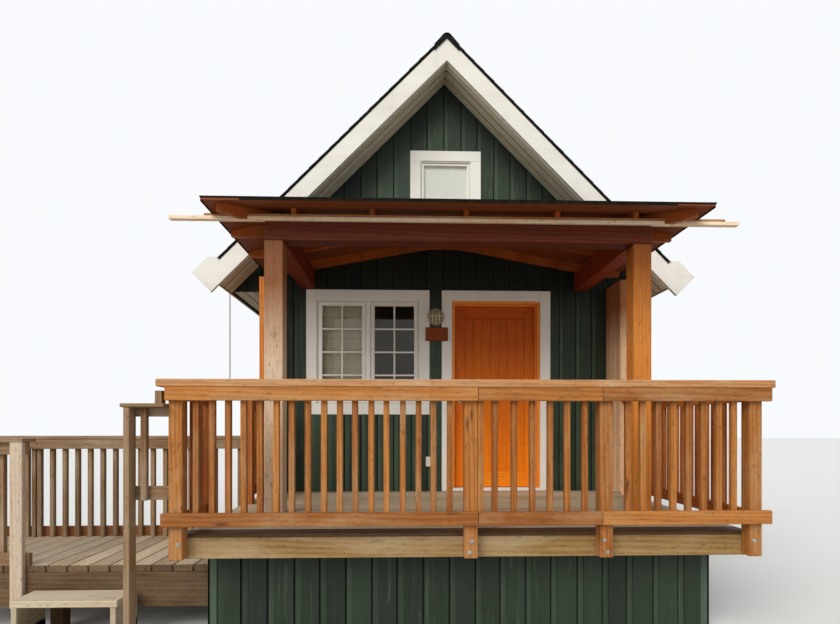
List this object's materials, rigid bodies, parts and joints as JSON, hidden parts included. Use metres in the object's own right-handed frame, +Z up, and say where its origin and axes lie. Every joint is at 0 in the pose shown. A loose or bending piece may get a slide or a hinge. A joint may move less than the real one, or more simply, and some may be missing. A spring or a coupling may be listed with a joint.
{
  "type": "holiday cottage with a railed, roofed front porch",
  "caption": "Small gabled timber cottage with a steep roof, one hinged front door and a railed porch under a low hipped roof, with a landing and steps at its left side.",
  "frame": {"origin": "on the ground, in the middle of the foot of the foundation wall under the front wall", "axes": "+X to the right along the front as seen from outside, +Y from the porch to the back, +Z up"},
  "size_m": [6.8279, 8.943, 5.5592],
  "materials": {
    "siding": "dark green painted vertical boarding, satin",
    "floor_boards": "plain timber floor",
    "soffit": "grey-brown stained soffit boards",
    "roof_metal": "dark folded metal",
    "barge_paint": "off-white painted timber",
    "window_paint": "white painted timber",
    "window_glass": "clear window glass",
    "door_timber": "orange oiled timber",
    "hardware": "brushed steel",
    "weathered_deck": "weathered grey-brown deck timber",
    "deck_rim": "pale olive pressure-treated timber",
    "post_timber": "golden brown oiled timber",
    "beam_timber": "dark red-brown oiled timber",
    "weathered_plank": "bleached weathered board",
    "porch_sheathing": "orange-brown sheathing under dark roofing",
    "rafter_timber": "orange-brown rafters",
    "rail_timber": "oiled cedar, orange-brown",
    "screen_timber": "oiled cedar boards, orange",
    "landing_timber": "weathered rail timber",
    "light_body": "cast grey bulkhead light",
    "chain_metal": "dark metal rain chain"
  },
  "bodies": {
    "cottage": {"foundation_front": "siding", "skirt_left": "siding", "skirt_right": "siding", "skirt_front": "siding", "skirt_back": "siding", "floor": "floor_boards", "front_wall_left": "siding", "front_wall_right": "siding", "front_gable": "siding", "left_wall": "siding", "right_wall": "siding", "back_wall": "siding", "roof_left": "soffit", "roof_right": "soffit", "ridge_cap": "roof_metal", "barge_front_left": "barge_paint", "barge_front_right": "barge_paint", "barge_back_left": "barge_paint", "barge_back_right": "barge_paint", "gutter_left": "roof_metal", "gutter_right": "roof_metal", "front_window": "window_paint", "front_window_glass": "window_glass", "upper_window": "window_paint", "upper_window_glass": "window_glass", "left_window": "window_paint", "left_window_glass": "window_glass", "right_window": "window_paint", "right_window_glass": "window_glass", "door_frame": "door_timber", "door_trim": "window_paint", "frame_hinges": "hardware", "porch_deck": "weathered_deck", "deck_frame": "deck_rim", "porch_post_left": "post_timber", "porch_post_right": "post_timber", "porch_beam_front": "beam_timber", "porch_beam_left": "beam_timber", "porch_beam_right": "beam_timber", "eave_plank": "weathered_plank", "porch_roof": "porch_sheathing", "porch_rafters": "rafter_timber", "front_rail_left": "rail_timber", "front_rail_middle": "rail_timber", "front_rail_right": "rail_timber", "side_rail_left": "rail_timber", "side_rail_rear": "rail_timber", "side_rail_right": "rail_timber", "screen_left": "screen_timber", "screen_right": "screen_timber", "landing_deck": "weathered_deck", "landing_frame": "weathered_deck", "landing_rail_rear": "landing_timber", "landing_rail_front": "landing_timber", "stair": "weathered_deck", "entry_rail": "landing_timber", "porch_light": "light_body", "rain_chain": "chain_metal"},
    "front_door": {"door": "door_timber", "door_hardware": "hardware"}
  },
  "joints": [
    {"name": "front_door_hinge", "type": "hinge", "parent": "cottage", "child": "front_door", "pos_m": [1.0395, 0.074, 1.82], "axis": [0, 0, -1], "range_deg": [0, 90]}
  ]
}
